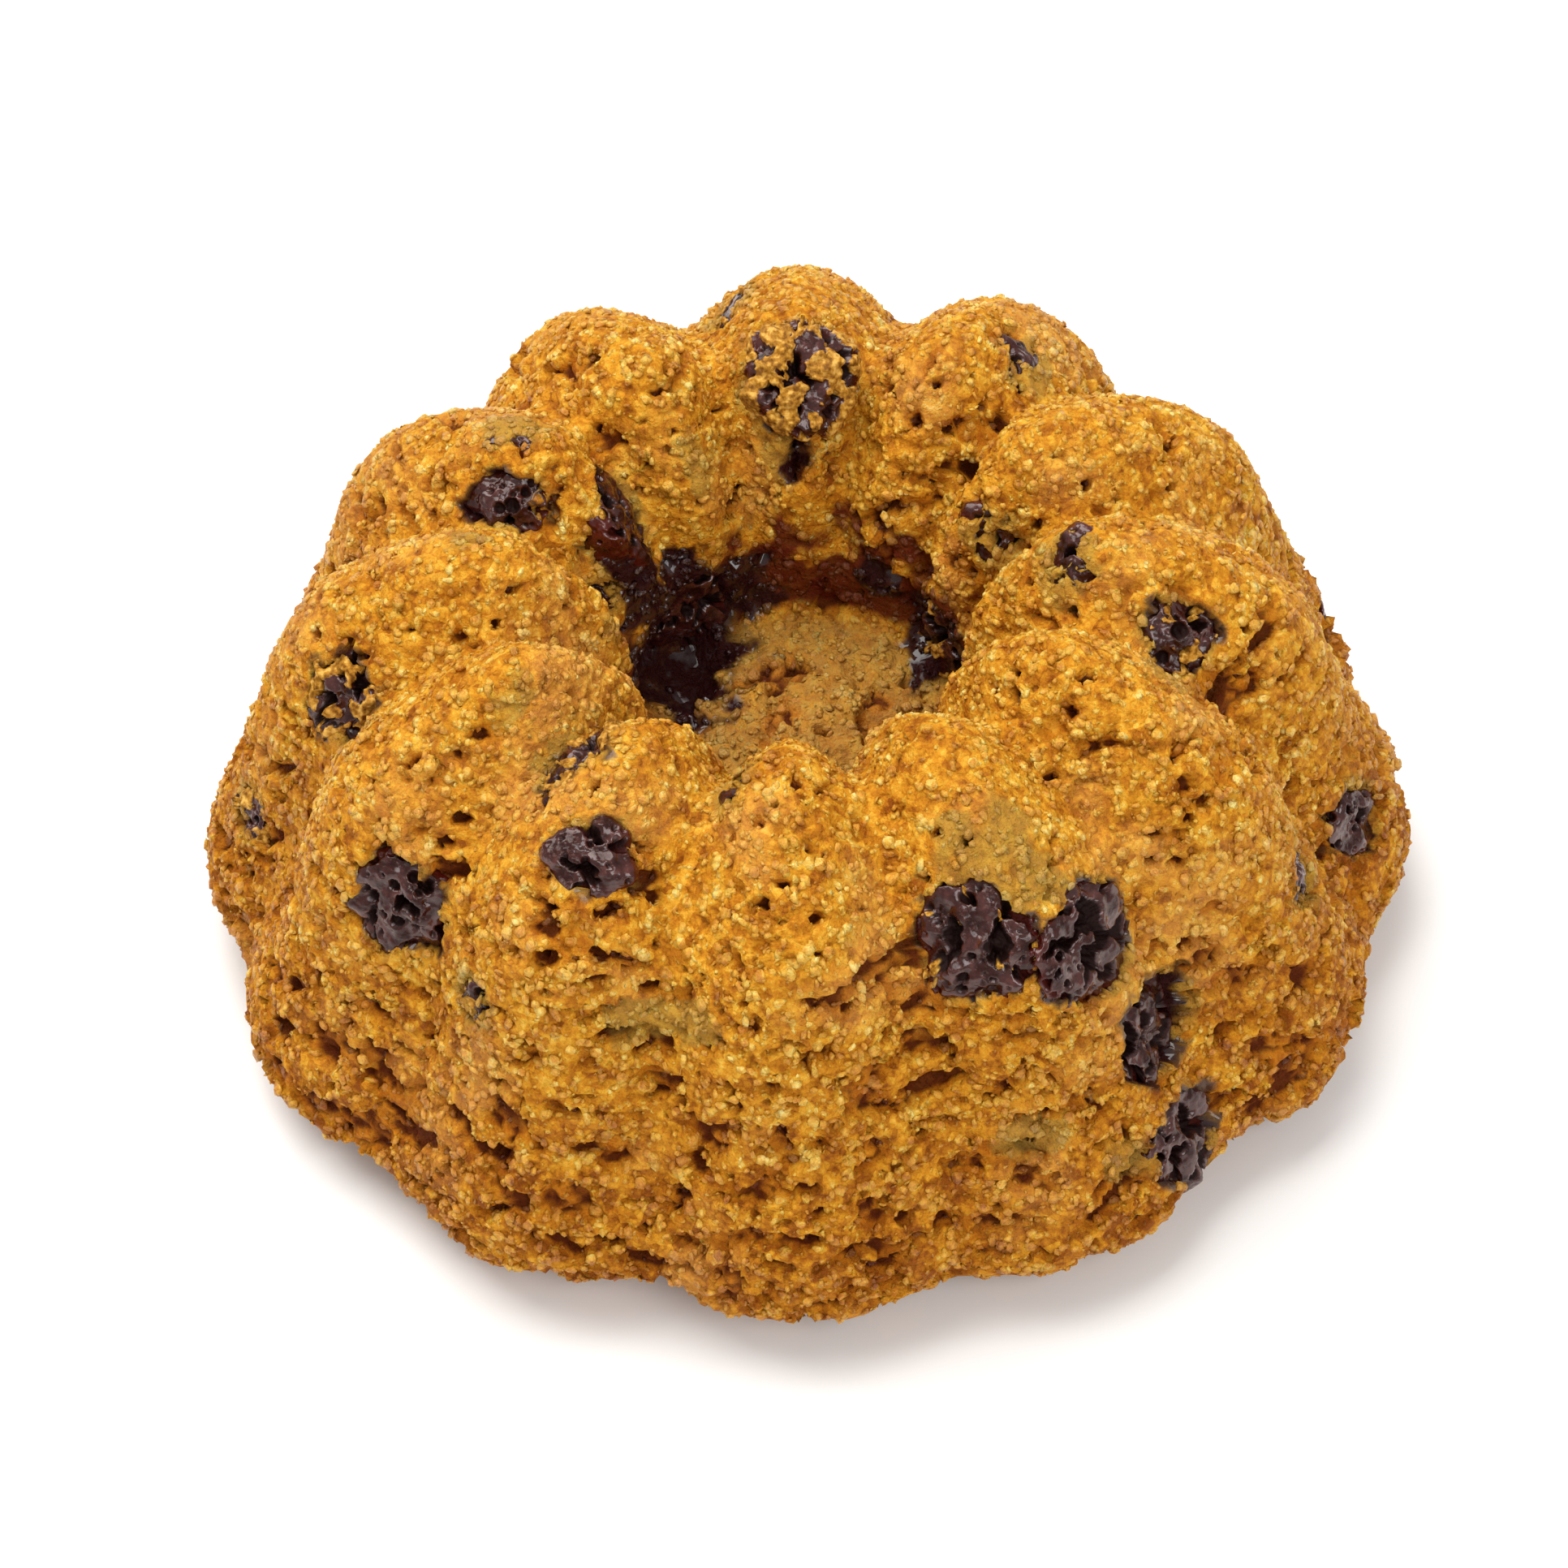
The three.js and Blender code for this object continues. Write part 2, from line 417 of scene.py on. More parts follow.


# %% [markdown]
# The crumb isn't the same all over: the flank is the most torn, the crest is the smoothest,
# and the well has a wall painted dark, painted shade, and a lumpy floor. A mask tells a field
# where it is. Each one fades over a range of radius or height, and `patchy` makes some of the
# edges ragged.

# %% Masks of the parts of the ring
UNDERSIDE_FADE = (0.1, 1.2)  # heights
FLANK_RADII = (30, 40)
FLANK_TOP = (8, 32)  # heights
SHOULDER_HEIGHTS = (33, 40)
CREST_RADII = (16, 20)
WALL_INNER = (10, 12)  # radii
WALL_OUTER = (15.5, 18)
WALL_FOOT = (21, 23)  # heights
WALL_TOP = (26, 33)
FLOOR_EDGE = (11, 13)  # radii
FLOOR_HEIGHTS = (15, 18)

cake_mesh = cake.data
places = coordinates(cake_mesh) / MM
normals = np.empty(len(places) * 3)
cake_mesh.vertices.foreach_get("normal", normals)
normals = normals.reshape(-1, 3)
radius = np.hypot(places[:, 0] / OVAL, places[:, 1])
height = places[:, 2]
underside = 1 - between(height, *UNDERSIDE_FADE)
patchy = lumps(places, 2.6, octaves=3, shift=6.0)
low_side = between(radius, *FLANK_RADII) * (1 - between(height, *FLANK_TOP))
upper_side = between(height, *SHOULDER_HEIGHTS) * between(radius, *CREST_RADII)
ragged_height = height + 5 * patchy
well_ring = between(radius, *WALL_INNER) * (1 - between(radius, *WALL_OUTER))
well_wall = well_ring * between(height, *WALL_FOOT) * (1 - between(ragged_height, *WALL_TOP))
well_floor = (1 - between(radius, *FLOOR_EDGE)) * between(height, *FLOOR_HEIGHTS)
print("share on the low side", round(float(low_side.mean()), 2),
      "and on the well's wall", round(float(well_wall.mean()), 3))

# %% [markdown]
# Tears and flakes come from fractal noise that is cut off at a level, so that they have an
# edge. Pores and dents are balls at scattered points. The batter's weight pressed them flat,
# so their space is squeezed upright, and a little warp stops them from looking round.

# %% Tear the surface
TEAR_SHARE = 0.27  # of the surface
TEAR_SIZE = 4.2
TEAR_DEPTH = 0.95
FLAKE_SIZE = 1.6
FLAKE_DEPTH = 0.34
DENT_DEPTH = 0.7
PINHOLE_DEPTH = 1.9
WIDE_PORE_DEPTH = 2.2
LAYERING = 1.7  # how much flatter than round the pores are
# The spacing of the pores, the share of the places that hold one, and their smallest and
# largest radius.
BUBBLES = (3.4, 0.42, 0.5, 1.15)
SMALL_BUBBLES = (1.9, 0.45, 0.3, 0.62)
DENTS = (8.5, 0.4, 1.4, 2.6)
PINHOLES = (2.6, 0.5, 0.3, 0.75)
WIDE_PORES = (4.6, 0.5, 0.6, 1.25)

warp = np.stack([lumps(places, 1.7, shift=shift) for shift in (3.1, 7.7, 11.3)], axis=1) * 0.5
layered = (places + warp) * (1, 1, LAYERING)
tear_field = lumps(layered, TEAR_SIZE, octaves=4) + 0.35 * lumps(places, 17, shift=5.0)
tear_field += 0.25 * low_side - 0.22 * upper_side
tear_edge = np.quantile(tear_field, 1 - TEAR_SHARE)
tear = between(tear_field, tear_edge, tear_edge + 0.12) * TEAR_DEPTH * (1 + 0.8 * patchy)
flakes = between(lumps(layered, FLAKE_SIZE, octaves=3, shift=21.0), 0.08, 0.22) * FLAKE_DEPTH
flakes *= 0.55 + 0.45 * between(tear_field, tear_edge - 0.35, tear_edge)
bubbles = np.maximum(pores(layered, *BUBBLES), pores(layered + 40, *SMALL_BUBBLES))
dents = np.minimum(0.5 * pores(layered + 90, *DENTS), DENT_DEPTH)
pinholes = PINHOLE_DEPTH * between(pores(layered + 60, *PINHOLES), 0.05, 0.42)
wide = WIDE_PORE_DEPTH * low_side * between(pores(layered + 33, *WIDE_PORES), 0.1, 0.7)
deep = tear + flakes + np.maximum(bubbles * 0.95, np.maximum(pinholes, wide)) + dents
print("torn share", round(float((tear > 0.3).mean()), 2),
      "deepest", round(float(deep.max()), 2), "mm")

# %% Lumps and grain
soft = 0.30 * lumps(places, 9, shift=2.0) + 0.16 * lumps(places, 3.1, shift=9.0)
soft += 0.6 * well_floor * lumps(places, 1.9, shift=13.0)
raised = lumps(places, 1.2, octaves=3, shift=4.0)
fine = (0.17 + 0.2 * well_floor) * raised
print("lumps of up to", round(float(np.abs(soft + fine).max()), 2), "mm")

# %% [markdown]
# ## Holes and stains away from the chips
# Some holes are large enough to be a feature of this cake, and so are the olive patches where
# a chip lies just under the surface and the chocolate that ran into the well. Each is placed
# by an azimuth in degrees and a share of the way over the crown.

# %% Holes, olive patches and melted chocolate
def spot_on_surface(degrees, along):
    """A point of the fluted surface at an azimuth and a share of the way over the crown."""
    step = np.array([round(along * (len(crown) - 1))])
    return fluted(np.radians([degrees]), step)[0]


def reach_of(spot, size):
    """1 in the middle of a patch about a spot, and 0 past its ragged edge."""
    away = np.linalg.norm(places - spot_on_surface(*spot), axis=1)
    return 1 - between(away / size + 0.5 * patchy, 0.5, 1.1)


HOLES = [  # where, half the width, half the height and the depth
    ((250.5, 0.349), 1.6, 0.55, 2.6),
    ((248.5, 0.426), 1.2, 0.50, 2.2),
    ((248.0, 0.402), 1.6, 0.35, 1.8),
    ((247.5, 0.460), 1.5, 0.50, 2.0),
    ((248.0, 0.503), 1.0, 0.60, 2.0),
    ((253.5, 0.395), 1.0, 0.50, 1.6),
    ((88.0, 0.714), 1.4, 1.60, 3.4),
    ((45.0, 0.600), 1.0, 0.50, 1.6),
    ((43.0, 0.685), 1.2, 0.80, 2.0),
    ((250.5, 0.497), 1.6, 0.70, 1.8),
    ((146.0, 0.860), 5.0, 3.40, 3.0),
    ((20.0, 0.700), 1.0, 0.80, 2.0),
    ((303.0, 0.130), 1.7, 0.60, 1.8),
    ((268.0, 0.170), 1.5, 0.50, 1.8),
]
MELTED_SPOTS = [  # where chocolate ran, and about how far it reached
    ((146, 0.855), 9.0),
    ((132, 0.800), 3.6),
    ((152, 0.720), 3.2),
    ((150, 0.765), 3.4),
    ((147, 0.805), 4.2),
    ((88, 0.712), 1.9),
    ((112, 0.840), 4.2),
    ((30, 0.845), 4.6),
    ((14, 0.855), 3.6),
    ((62, 0.825), 2.6),
]
OLIVE_SPOTS = [  # where a chip lies just under the surface, and how far it stains the crumb
    ((297.5, 0.490), 6.2),
    ((303, 0.460), 3.6),
    ((259.5, 0.376), 3.4),
    ((253, 0.362), 3.2),
    ((94.5, 0.705), 2.6),
    ((293.5, 0.242), 3.4),
    ((303, 0.188), 3.0),
]
UNDERSIDE_CALM = 0.85  # how much less the underside is moved


def hole(spot, across, upward, depth):
    """A ragged hole that lies level."""
    away = places - spot_on_surface(*spot)
    sideways = np.hypot(away[:, 0], away[:, 1]) / across
    return depth * (1 - between(np.hypot(sideways, away[:, 2] / upward) + 0.35 * patchy, 0.8, 1.15))


deep = np.maximum(deep, np.max([hole(*measures) for measures in HOLES], axis=0))
olive = np.max([reach_of(spot, size) for spot, size in OLIVE_SPOTS], axis=0)
melted = np.max([reach_of(spot, size) for spot, size in MELTED_SPOTS], axis=0)
offset = (soft + fine - deep) * (1 - underside * UNDERSIDE_CALM)
places = places + normals * offset[:, None]
print("olive share", round(float((olive > 0.5).mean()), 3))

# %% [markdown]
# ## Pockets for the chips
# The crumb set around each chip, so there is a ragged hole where a chip shows. A boolean cut
# would leave a clean edge, so the crumb inside each ragged outline is pushed down instead,
# along the chip's own axis, until the chip stands above it. Some chips stayed under a torn
# veil of crumb and show only in patches. Cocoa butter stains the crumb near a chip olive,
# and what melted stains the pocket a dark red.

# %% Ragged outlines
# How far a chip has melted outwards, for those that have.
SPREAD = {1: 1.08, 2: 1.3, 3: 1.25, 4: 1.08, 6: 0.92, 21: 1.1}
LOBED = 0.3  # how far the outline strays from a circle, as a share of the radius
EVEN = {15: 0.1}  # a chip that kept its round outline


def turned_noise(seat, across, up, size):
    """Noise that depends only on the direction from the seat's middle."""
    angle = np.arctan2(up, across)
    own = np.full_like(angle, seat.number * 3.7)
    return lumps(np.stack([np.cos(angle), np.sin(angle), own], axis=1), size)


def melted_radius(seat, across, up):
    """How far a chip reaches from its middle in each direction."""
    lobed = EVEN.get(seat.number, LOBED)
    reach = seat.radius * SPREAD.get(seat.number, 1.0)
    return reach * (0.98 + lobed * turned_noise(seat, across, up, 0.8))


def outline_of(seat, across, up, seen):
    """The ragged radius of a chip's showing face towards each place."""
    return melted_radius(seat, across, up) + lumps(seen, 1.7, octaves=3)


print("chips that melted outwards:", sorted(number for number, by in SPREAD.items() if by > 1))

# %% Push the pockets in
POCKET_DEPTH = 2.2
POCKET_WALL = 0.45
SQUARE_ON = (0.45, 0.7)  # how squarely crumb faces the chip's way out before it is pushed
OUT_OF_PLANE = (2.0, 3.6)  # how far from the chip's own plane the pushing fades out
SEEP = 1.3  # how far melted chocolate has seeped past the edge of a pocket
STAIN_REACH = (-0.5, 2.2)  # from that edge, where the olive stain fades
# The share of a chip that the crumb still hides.
VEILED = {8: 0.5, 9: 0.5, 11: 0.5, 13: 0.82, 14: 0.4, 16: 0.93, 17: 0.72, 20: 0.4, 22: 0.5,
          25: 0.75, 27: 0.3, 29: 0.4, 31: 0.5}

stain = olive * 0.9
melt = np.zeros(len(places))
for seat in seats:
    local = seat.local(places)
    facing = normals @ np.array(seat.out)
    near = np.flatnonzero((np.linalg.norm(local, axis=1) < seat.radius + 7) & (facing > 0.1))
    across, up, out = local[near].T
    reach = np.hypot(across, up)
    edge = outline_of(seat, across, up, places[near])
    square_on = between(facing[near], *SQUARE_ON) * (1 - between(np.abs(out), *OUT_OF_PLANE))
    inside = (1 - between(reach, edge - POCKET_WALL, edge)) * square_on
    hidden = VEILED.get(seat.number, 0)
    if hidden:
        veil = lumps(places[near], 2.0, octaves=3, shift=seat.number)
        veil_edge = np.quantile(veil[inside > 0.5], hidden)
        inside *= between(veil, veil_edge, veil_edge + 0.12)
    pushed = np.minimum(out, -POCKET_DEPTH) * inside + out * (1 - inside)
    places[near] += (pushed - out)[:, None] * np.array(seat.out)
    from_edge = reach - edge
    stain[near] = np.maximum(stain[near], 0.85 - between(from_edge, *STAIN_REACH))
    seeped = 0.7 * (1 - between(from_edge, 0, SEEP)) * between(patchy[near], -0.15, 0.1)
    seeped *= square_on * (hidden == 0)
    melt[near] = np.maximum(melt[near], np.maximum(between(inside, 0.05, 0.6), seeped))
places[:, 2] = np.maximum(places[:, 2], 0)
cake_mesh.vertices.foreach_set("co", (places * MM).ravel())

# %% [markdown]
# The finish and the grains need to know what each place is, so the fields go onto the mesh
# as attributes. Grains keep off the table, off melted chocolate and mostly out of deep holes.

# %% Keep the fields
CLEAR_OF_TABLE = (0.7, 1.8)  # heights between which grains begin
DRY = (0.1, 0.4)  # how melted a place is, from covered in grains to bare
SHALLOW = (0.7, 1.2)  # how deep a place is, from covered to nearly bare

loose = between(height, *CLEAR_OF_TABLE) * (1 - between(melt, *DRY))
loose *= 1 - 0.9 * between(deep, *SHALLOW)
kept = {"deep": deep, "stain": stain, "melt": np.maximum(melt, melted), "raised": raised,
        "wall": well_wall, "floor": well_floor, "crust": underside, "loose": loose, "low": low_side}
for name, values in kept.items():
    store(cake_mesh, name, values)
print("pocketed share", round(float((melt > 0.5).mean()), 3))

# %% [markdown]
# An even net spends as many faces on plain crumb as on a torn edge. Decimate merges the
# faces that matter least and keeps the attributes.

# %% Thin the net where the crumb is plain
CAKE_TRIANGLES = 192_000
cake_mesh.update()
faces = 2 * len(cake_mesh.polygons)
if faces > CAKE_TRIANGLES:
    thin = cake.modifiers.new("thin", "DECIMATE")
    thin.ratio = CAKE_TRIANGLES / faces
    apply_modifiers(cake)
cake.data.shade_smooth()
print("cake:", sum(len(face.vertices) - 2 for face in cake.data.polygons), "triangles",
      [layer.name for layer in cake.data.attributes])

# %% [markdown]
# ## Loose grains
# A turned-out cake sheds crumbs, and its skin is a crust of moist lumps up to a millimetre
# across, with finer grains between them. Tens of thousands of them can't be placed by hand. A
# small geometry-node net throws points over the cake, lays a flattened little ball on each,
# half sunk, crumples it with noise, and turns the lot into one mesh. The points copy the
# cake's attributes, so a grain has the colour of its place.

# %% Scatter the grains
GRAIN_LAYERS = [  # how many grains, and the smallest and largest radius in millimetres
    (7500, 0.24, 0.66),
    (7500, 0.18, 0.50),
    (9000, 0.10, 0.28),
    (9000, 0.10, 0.28),
]
LOOSE_AREA = 0.0205  # square metres of skin that grains stick to
GRAIN_FLATNESS = 0.5
CRUMPLE_SIZE = 0.5 * MM
CRUMPLE_DEPTH = 0.62 * MM


def grain_layer(seed, count, smallest, largest):
    """One throw of grains over the cake, as a mesh of its own."""
    tree = bpy.data.node_groups.new("grains", "GeometryNodeTree")
    tree.interface.new_socket("Cake", in_out="INPUT", socket_type="NodeSocketGeometry")
    tree.interface.new_socket("Grains", in_out="OUTPUT", socket_type="NodeSocketGeometry")
    net = Net(tree)
    share = net.node("GeometryNodeInputNamedAttribute", {"Name": "loose"}, data_type="FLOAT")
    points = net.node("GeometryNodeDistributePointsOnFaces", {
        "Mesh": net.node("NodeGroupInput"), "Density": share * (count / LOOSE_AREA), "Seed": seed})
    flat = Wire(net, points.socket.node.outputs["Rotation"])
    ball = net.node("GeometryNodeMeshIcoSphere", {"Radius": MM, "Subdivisions": 1})
    size = net.node("FunctionNodeRandomValue", {
        0: (smallest,) * 3, 1: (largest, largest, largest * GRAIN_FLATNESS), 8: seed},
                    data_type="FLOAT_VECTOR")
    stuck = net.node("GeometryNodeInstanceOnPoints", {"Points": points, "Instance": ball,
                                                      "Rotation": flat, "Scale": size})
    real = net.node("GeometryNodeRealizeInstances", {"Geometry": stuck})
    waves = net.node("ShaderNodeTexNoise", {"Scale": 1 / CRUMPLE_SIZE, "Detail": 1}, result="Color")
    shift = net.node("ShaderNodeVectorMath", {0: waves, 1: (0.5, 0.5, 0.5)}, operation="SUBTRACT")
    rough = net.node("ShaderNodeVectorMath", {0: shift, "Scale": CRUMPLE_DEPTH}, operation="SCALE")
    crumpled = net.node("GeometryNodeSetPosition", {"Geometry": real, "Offset": rough})
    net.node("NodeGroupOutput", {0: net.node("GeometryNodeSetShadeSmooth", {"Geometry": crumpled})})
    layer = bpy.data.objects.new("crumb_grains_%d" % seed, cake.data)
    bpy.context.scene.collection.objects.link(layer)
    layer.modifiers.new("grains", "NODES").node_group = tree
    apply_modifiers(layer)
    return layer


grains = [grain_layer(seed, *layer) for seed, layer in enumerate(GRAIN_LAYERS, start=1)]
print("grains:", [len(layer.data.polygons) for layer in grains], "triangles")

# %% [markdown]
# ## The crumb's finish
# Pumpkin crumb is golden orange. Raised lumps and the loose grains are painted paler
# yellow, a painted highlight, and what lies deep is painted a darker, redder orange, partly
# the torn crumb's own colour and partly painted shade. So colour follows the depth kept above
# and a fine grain.

# %% The crumb's colours
CRUMB_TONES = [  # from the shaded side of a grain to its lit tip
    (0.26, (0.26, 0.066, 0.002)),
    (0.39, (0.47, 0.163, 0.006)),
    (0.50, (0.65, 0.272, 0.013)),
    (0.62, (0.80, 0.430, 0.042)),
    (0.74, (0.93, 0.690, 0.210)),
]
TAN = (0.70, 0.33, 0.08)
WELL_FLOOR_TAN = (0.40, 0.22, 0.05)
BAKED_CRUST = (0.42, 0.16, 0.02)
# partly the torn crumb's own orange, partly painted shade where the crumb lies deep
TORN_AND_SHADED_ORANGE = (0.52, 0.150, 0.004)
# painted shade, near black, in the deepest holes and pores
PAINTED_HOLE_SHADE = (0.085, 0.009, 0.001)
OLIVE = (0.37, 0.22, 0.035)
# painted shade on the wall of the well
PAINTED_WELL_WALL_SHADE = (0.11, 0.008, 0.002)
MELTED_CHOCOLATE = (0.030, 0.004, 0.003)
LIGHT_TRAVEL = (1.0, 0.35, 0.08)  # how far red, green and blue light go inside crumb
GRANULE = 0.52  # the width of one swollen grain of flour, in millimetres
print("crumb tones:", len(CRUMB_TONES))


# %% Crumb
def crumb_finish(name, painted_highlight, smoothest, **constants):
    """Moist crumb. The number after the name lifts its colours, a painted highlight, and
    `smoothest` is its lowest roughness.
    """
    crumb = Finish(name, Subsurface_Weight=0.2, Subsurface_Scale=1.2 * MM, **constants)
    crumb.surface.inputs["Subsurface Radius"].default_value = LIGHT_TRAVEL
    deep_mask = crumb.attribute("deep")
    broad = crumb.grain(11, detail=2)
    medium = crumb.grain(2.4, detail=3, offset=5)
    fine_grain = crumb.grain(0.6, detail=3, roughness=0.65, offset=2)
    granule = crumb.cells(GRANULE)
    granule_tone = crumb.cells(GRANULE, result="Color")
    clump_tone = crumb.cells(1.3, result="Color")
    # Raised lumps are painted paler, a painted highlight. The low flank is painted a little darker,
    # and so is the edge of each granule, painted shade. The finish's own painted highlight is added
    # last.
    speckle = (fine_grain * 0.38 + medium * 0.26 + granule_tone * 0.17 + clump_tone * 0.19
               + crumb.attribute("raised") * 0.13 - crumb.attribute("low") * 0.08)
    tone = speckle - granule * 0.09 + painted_highlight
    colour = crumb.node("ShaderNodeValToRGB", {"Fac": tone}, stops=CRUMB_TONES)
    colour = crumb.mix(crumb.between(broad, 0.50, 0.70) * 0.35, colour, TAN)
    floor_share = crumb.attribute("floor") * (0.3 + granule_tone * 0.5)
    colour = crumb.mix(floor_share, colour, WELL_FLOOR_TAN)
    colour = crumb.mix(crumb.attribute("crust") * 0.5, colour, BAKED_CRUST)
    # Deeper places are painted darker and redder, partly the torn crumb's own colour and partly
    # painted shade. The deepest are painted near black, painted shade in the holes.
    colour = crumb.mix(crumb.between(deep_mask, 0.25, 0.95) * 0.55, colour, TORN_AND_SHADED_ORANGE)
    colour = crumb.mix(crumb.between(deep_mask, 0.8, 1.35) * 0.92, colour, PAINTED_HOLE_SHADE)
    olive_share = crumb.between(crumb.attribute("stain") * (medium + broad), 0.35, 0.85)
    colour = crumb.mix(olive_share * 0.62, colour, OLIVE)
    # The wall of the well is painted a dark red, painted shade.
    wall_share = crumb.between(crumb.attribute("wall") * (medium + 0.5), 0.2, 0.85)
    colour = crumb.mix(wall_share * 0.93, colour, PAINTED_WELL_WALL_SHADE)
    wet = crumb.between(crumb.attribute("melt"), 0.25, 0.8)
    crumb.feed_surface("Base Color", crumb.mix(wet, colour, MELTED_CHOCOLATE))
    uneven = crumb.grain(0.8, detail=2, offset=8)
    crumb.feed_surface("Roughness", smoothest + uneven * 0.45 - wet * 0.2)
    crumb.feed_surface("Coat Weight", wet * crumb.between(medium, 0.4, 0.6))
    coarse_bump = crumb.bump(crumb.grain(1.2, detail=5, roughness=0.68, offset=3), 0.85)
    grain_bump = crumb.bump(1 - granule, 0.08, below=coarse_bump)
    crumb.feed_surface("Normal", crumb.bump(fine_grain, 0.12, below=grain_bump))
    return crumb.material


cake.data.materials.clear()
cake.data.materials.append(crumb_finish("moist_crumb", 0.0, 0.4, Specular_IOR_Level=0.12))
# The loose grains are painted paler than the body, a painted highlight.
grain_material = crumb_finish("crumb_grains", 0.09, 0.14, Specular_IOR_Level=0.5)
for layer in grains:
    layer.data.materials.clear()
    layer.data.materials.append(grain_material)

# %% [markdown]
# ## The chips
# A baked chip has lost its crisp edges: it is a low lump with a soft rim and small pits where
# bubbles burst on it. Each one starts as an icosphere, which has no poles, and is pressed
# into a lump with its own seeded noise. It follows the outline of its pocket, sometimes a
# little wider, so that the crumb overlaps it, and sometimes narrower, which leaves a crevice.
# Flakes of crumb stick to some of them.

# %% Shape the chips
CHIP_OVERLAP = 0.5  # how far a chip reaches under the crumb around it, in millimetres
CHIP_THICKNESS = 3.2
RIM_DROP = 1.6  # from the crown of a chip down to its rim
CHIP_TOP = -0.35  # from the surface of the cake up to the crown
CAVITY_DEPTH = 1.3
BULGES = {6: 0.9, 15: 1.9, 21: 0.5, 24: 0.5}  # how much further some chips stand out
# The share of a chip that flakes of crumb stick to.
FLAKED = {1: 0.02, 7: 0.25, 8: 0.4, 10: 0.3, 11: 0.35, 14: 0.45, 15: 0.6, 18: 0.2, 24: 0.15,
          30: 0.3}
# Burst bubbles, given as the crumb's pores are.
CHIP_BUBBLES = (2.0, 0.6, 0.4, 0.9)
CHIP_PINHOLES = (0.95, 0.65, 0.18, 0.42)


def chip_piece(seat):
    """A softened chip in its seat."""
    made = bmesh.new()
    fineness = 6 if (seat.radius > 2.3) else 5
    bmesh.ops.create_icosphere(made, subdivisions=fineness, radius=1)
    mesh = bpy.data.meshes.new(seat.node + "_melted")
    made.to_mesh(mesh)
    made.free()
    ball = coordinates(mesh)
    shift = seat.number * 5.3
    gaps = 0.8 * turned_noise(seat, ball[:, 0], ball[:, 1], 0.6)
    wide = melted_radius(seat, ball[:, 0], ball[:, 1]) + CHIP_OVERLAP + gaps
    crown_share = np.clip(ball[:, 2], 0, 1) ** 0.75
    rim = CHIP_TOP + BULGES.get(seat.number, 0) - RIM_DROP
    out = rim + np.where(ball[:, 2] > 0, RIM_DROP * crown_share, ball[:, 2] * CHIP_THICKNESS)
    shape = np.stack([ball[:, 0] * wide, ball[:, 1] * wide, out], axis=1)
    roughness = 0.65 * lumps(shape, 2.1, shift=shift) + 0.16 * lumps(shape, 0.9, 3, shift=shift)
    hollow = lumps(shape, 1.9, octaves=2, shift=shift + 2)
    cavities = CAVITY_DEPTH * between(hollow, 0.22, 0.36)
    burst = np.maximum(pores(shape + shift, *CHIP_BUBBLES), pores(shape - shift, *CHIP_PINHOLES))
    pits = np.maximum(cavities, burst)
    flaky = lumps(shape, 1.5, octaves=3, shift=shift + 9)
    flake_edge = np.quantile(flaky, 1 - FLAKED.get(seat.number, 0))
    flakes = between(flaky, flake_edge, flake_edge + 0.06) * (seat.number in FLAKED)
    flake_lift = 0.3 + 0.25 * lumps(shape, 0.55, shift=shift)
    skin = (roughness - pits * (1 - flakes)) + flakes * flake_lift
    shape += ball * skin[:, None] * (1, 1, 1.2)
    world = shape @ np.array([seat.side, seat.up, seat.out]) + np.array(seat.middle) / MM
    mesh.vertices.foreach_set("co", (world * MM).ravel())
    store(mesh, "pit", pits)
    store(mesh, "rim", 1 - crown_share)
    store(mesh, "flake", flakes)
    mesh.update()
    mesh.shade_smooth()
    piece = bpy.data.objects.new(seat.node + "_melted", mesh)
    bpy.context.scene.collection.objects.link(piece)
    return piece


chips = [chip_piece(seat) for seat in seats]
print("chips:", sum(len(chip.data.polygons) for chip in chips), "triangles")

# %% [markdown]
# ## Chocolate
# Molten and set again, the chocolate is nearly black, with a purple brown skin that reflects
# the room softly and a thin red edge where light gets through. A flake of crumb on it is the
# crumb's own gold, and rough, so the coat stops there.

# %% The chocolate's colours
CHOCOLATE_TONES = [
    (0.35, (0.012, 0.002, 0.001)),
    (0.52, (0.036, 0.008, 0.006)),
    (0.70, (0.090, 0.026, 0.020)),
]
FLAKE_TONES = [
    (0.35, (0.16, 0.06, 0.006)),
    (0.52, (0.42, 0.19, 0.020)),
    (0.66, (0.66, 0.38, 0.080)),
]
# painted shade in the pits of a chip
PAINTED_PIT_SHADE = (0.005, 0.0008, 0.0004)
RIM_RED = (0.062, 0.005, 0.002)
print("chocolate tones:", len(CHOCOLATE_TONES), "and flake tones:", len(FLAKE_TONES))

# %% Chocolate
chocolate = Finish("baked_chocolate", Coat_Roughness=0.14, Specular_IOR_Level=0.2,
                   Specular_Tint=(1.0, 0.72, 0.68, 1), Coat_Tint=(1.0, 0.8, 0.76, 1))
streak = chocolate.grain(1.6, detail=3)
speck = chocolate.grain(0.5, detail=3, offset=4)
flake = chocolate.between(chocolate.attribute("flake"), 0.3, 0.7)
brown = chocolate.node("ShaderNodeValToRGB", {"Fac": streak * 0.6 + speck * 0.4},
                       stops=CHOCOLATE_TONES)
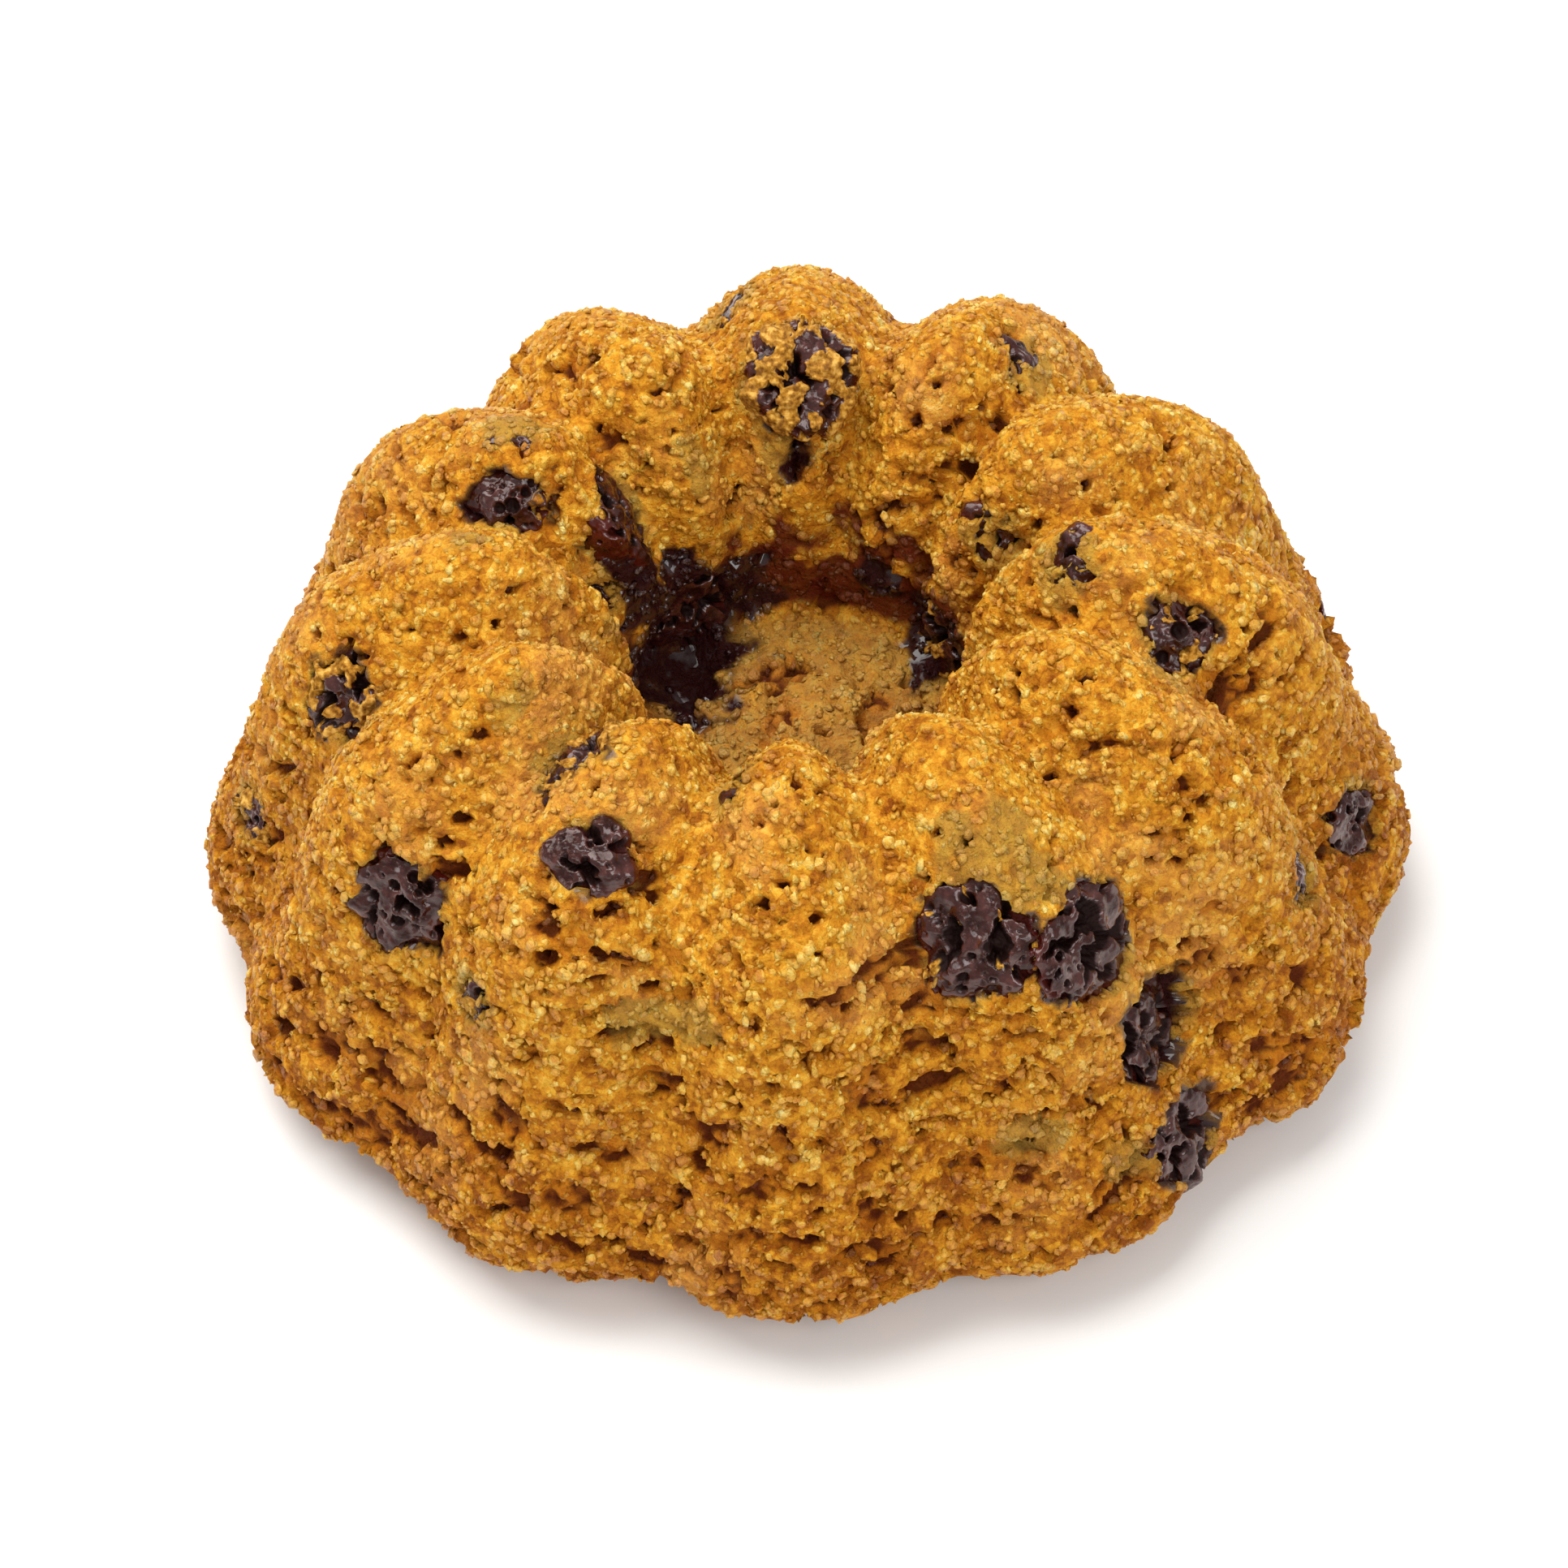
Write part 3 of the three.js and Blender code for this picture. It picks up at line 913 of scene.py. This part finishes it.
# The pits of a chip are painted near black, painted shade.
pit = chocolate.between(chocolate.attribute("pit"), 0.05, 0.35)
in_pits = chocolate.mix(pit * 0.95, brown, PAINTED_PIT_SHADE)
red_rim = chocolate.between(chocolate.attribute("rim") + streak * 0.5, 0.62, 0.92)
reddened = chocolate.mix(red_rim * 0.75, in_pits, RIM_RED)
crumb_tone = chocolate.node("ShaderNodeValToRGB", {"Fac": speck}, stops=FLAKE_TONES)
chocolate.feed_surface("Base Color", chocolate.mix(flake, reddened, crumb_tone))
chocolate.feed_surface("Roughness", 0.14 + speck * 0.2 + flake * 0.4 + pit * 0.4)
skinned = chocolate.between(streak, 0.38, 0.58, 0.35, 1)
chocolate.feed_surface("Coat Weight", skinned * (1 - flake) * (1 - pit))
broad_bump = chocolate.bump(streak, 0.5)
chocolate.feed_surface("Normal", chocolate.bump(speck, 0.09, below=broad_bump))
for chip in chips:
    chip.data.materials.append(chocolate.material)
print("finishes:", [material.name for material in bpy.data.materials])

# %% [markdown]
# ## Table and light
# The muffin stands on a plain white table, which is staged, so that it isn't part of the
# model. The table is one face, far wider than the view.

# %% The table
TABLE_REACH = 3  # metres to each side
TABLE_WHITE = (0.88, 0.875, 0.865, 1)

table_shape = bmesh.new()
bmesh.ops.create_grid(table_shape, x_segments=1, y_segments=1, size=TABLE_REACH)
table_mesh = bpy.data.meshes.new("table")
table_shape.to_mesh(table_mesh)
table_shape.free()
table = bpy.data.objects.new("table", table_mesh)
bpy.context.scene.collection.objects.link(table)
white = Finish("white_table", Base_Color=TABLE_WHITE, Roughness=0.8)
table_mesh.materials.append(white.material)
print("table:", 2 * TABLE_REACH, "m wide")

# %% [markdown]
# A wide soft light from behind and to the left leaves the left of the well dark and throws a
# faint shadow to the front right. A weaker one from the front right opens up the near side,
# and a pale world fills the rest.

# %% The lights
KEY_PLACE = Vector((-0.26, 0.26, 0.85))
FILL_PLACE = Vector((0.34, -0.62, 0.66))
WORLD_STRENGTH = 0.54


def soft_light(name, place, size, energy, colour=(1, 1, 1)):
    """A square area light that looks at the muffin."""
    data = bpy.data.lights.new(name, "AREA")
    data.size = size
    data.energy = energy
    data.color = colour
    light = bpy.data.objects.new(name, data)
    bpy.context.scene.collection.objects.link(light)
    light.location = place
    light.rotation_euler = (ORBIT_CENTRE - light.location).to_track_quat("-Z", "Y").to_euler()


soft_light("key", KEY_PLACE, size=0.85, energy=11.0, colour=(1, 0.98, 0.95))
soft_light("fill", FILL_PLACE, size=0.5, energy=4.0)

world = bpy.data.worlds.new("pale_room")
world.use_nodes = True
world.node_tree.nodes["Background"].inputs["Color"].default_value = (1, 1, 1, 1)
world.node_tree.nodes["Background"].inputs["Strength"].default_value = WORLD_STRENGTH
bpy.context.scene.world = world
bpy.context.scene.view_settings.view_transform = "Standard"
print("lights:", len(bpy.data.lights), "and a world of strength", WORLD_STRENGTH)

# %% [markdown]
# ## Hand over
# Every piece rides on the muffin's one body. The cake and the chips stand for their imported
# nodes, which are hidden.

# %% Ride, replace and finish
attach(cake, "root")
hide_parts("cake_body")
for layer in grains:
    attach(layer, "root")
for seat, chip in zip(seats, chips):
    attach(chip, "root")
    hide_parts(seat.node)
